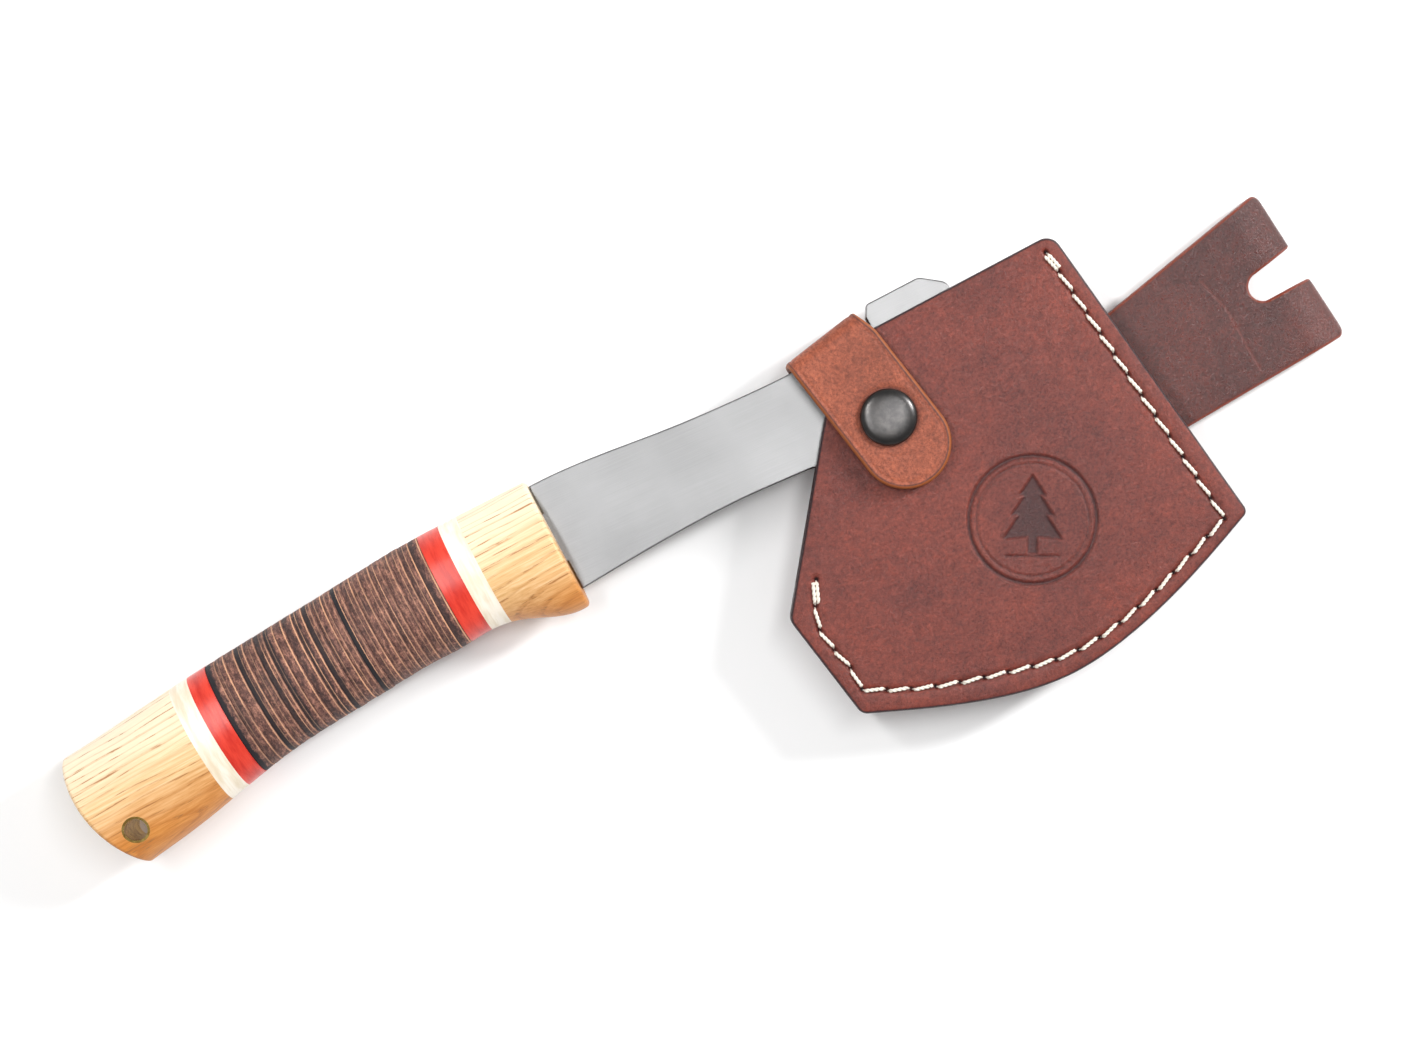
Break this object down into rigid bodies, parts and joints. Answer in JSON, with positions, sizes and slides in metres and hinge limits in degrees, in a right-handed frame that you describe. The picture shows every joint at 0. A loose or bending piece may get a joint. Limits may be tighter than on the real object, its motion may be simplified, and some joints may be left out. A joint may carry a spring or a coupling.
{
  "type": "hatchet",
  "caption": "One-piece steel belt hatchet with a stacked leather and wood grip, held in a stitched leather sheath with a snap strap and a belt loop.",
  "frame": {"origin": "centre of the lanyard hole through the pommel, at the middle of the blade's thickness", "axes": "+X along the handle from the butt to the head, +Y towards the poll (the cutting edge faces -Y), +Z out of the sheath's snap side"},
  "size_m": [0.3495, 0.1109, 0.0285],
  "materials": {
    "blade_steel": "fine satin, ground along the shank",
    "brass_tube": "polished",
    "pale_wood": "oiled ash or oak with open pores",
    "white_spacer": "sanded cream fibre",
    "red_spacer": "sanded red fibre",
    "grip_leather": "stacked, sanded and waxed",
    "sheath_leather": "smooth vegetable tanned with darker dyed edges",
    "strap_leather": "smooth, with raw tan edges",
    "loop_leather": "smooth oiled",
    "waxed_thread": "waxed twisted thread",
    "snap_metal": "dark polished gunmetal"
  },
  "bodies": {
    "hatchet": {"axe_blade": "blade_steel", "lanyard_tube": "brass_tube", "pommel": "pale_wood", "rear_white_spacer": "white_spacer", "rear_red_spacer": "red_spacer", "leather_washer_01": "grip_leather", "leather_washer_02": "grip_leather", "leather_washer_03": "grip_leather", "leather_washer_04": "grip_leather", "leather_washer_05": "grip_leather", "leather_washer_06": "grip_leather", "leather_washer_07": "grip_leather", "leather_washer_08": "grip_leather", "leather_washer_09": "grip_leather", "leather_washer_10": "grip_leather", "leather_washer_11": "grip_leather", "leather_washer_12": "grip_leather", "leather_washer_13": "grip_leather", "leather_washer_14": "grip_leather", "leather_washer_15": "grip_leather", "leather_washer_16": "grip_leather", "leather_washer_17": "grip_leather", "leather_washer_18": "grip_leather", "leather_washer_19": "grip_leather", "leather_washer_20": "grip_leather", "leather_washer_21": "grip_leather", "leather_washer_22": "grip_leather", "front_red_spacer": "red_spacer", "front_white_spacer": "white_spacer", "front_bolster": "pale_wood"},
    "sheath": {"sheath_front_panel": "sheath_leather", "sheath_back_panel": "sheath_leather", "welt_right": "sheath_leather", "welt_bottom": "sheath_leather", "welt_left": "sheath_leather", "sheath_stitching": "waxed_thread", "strap_tail": "strap_leather", "strap_rivets": "snap_metal", "snap_stud": "snap_metal", "snap_post": "snap_metal", "belt_loop": "loop_leather", "belt_loop_rivets": "snap_metal"},
    "strap_bend": {"strap_side": "strap_leather"},
    "strap_front": {"strap_flap": "strap_leather", "snap_cap": "snap_metal", "snap_socket": "snap_metal"}
  },
  "joints": [
    {"name": "sheath_draw", "type": "slide", "parent": "hatchet", "child": "sheath", "axis": [0.1219, -0.9925, 0], "range_m": [0, 0.1]},
    {"name": "strap_open", "type": "hinge", "parent": "sheath", "child": "strap_bend", "pos_m": [0.21535, 0.02757, -0.00666], "axis": [-0.9848, -0.1736, 0], "range_deg": [0, 90], "deforming": ["strap_side"]},
    {"name": "strap_unfold", "type": "hinge", "parent": "strap_bend", "child": "strap_front", "pos_m": [0.21535, 0.02757, 0.00896], "axis": [-0.9848, -0.1736, 0], "range_deg": [0, 90]}
  ],
  "couplings": [
    {"joint": "strap_unfold", "follows": "strap_open", "ratio": 1}
  ]
}
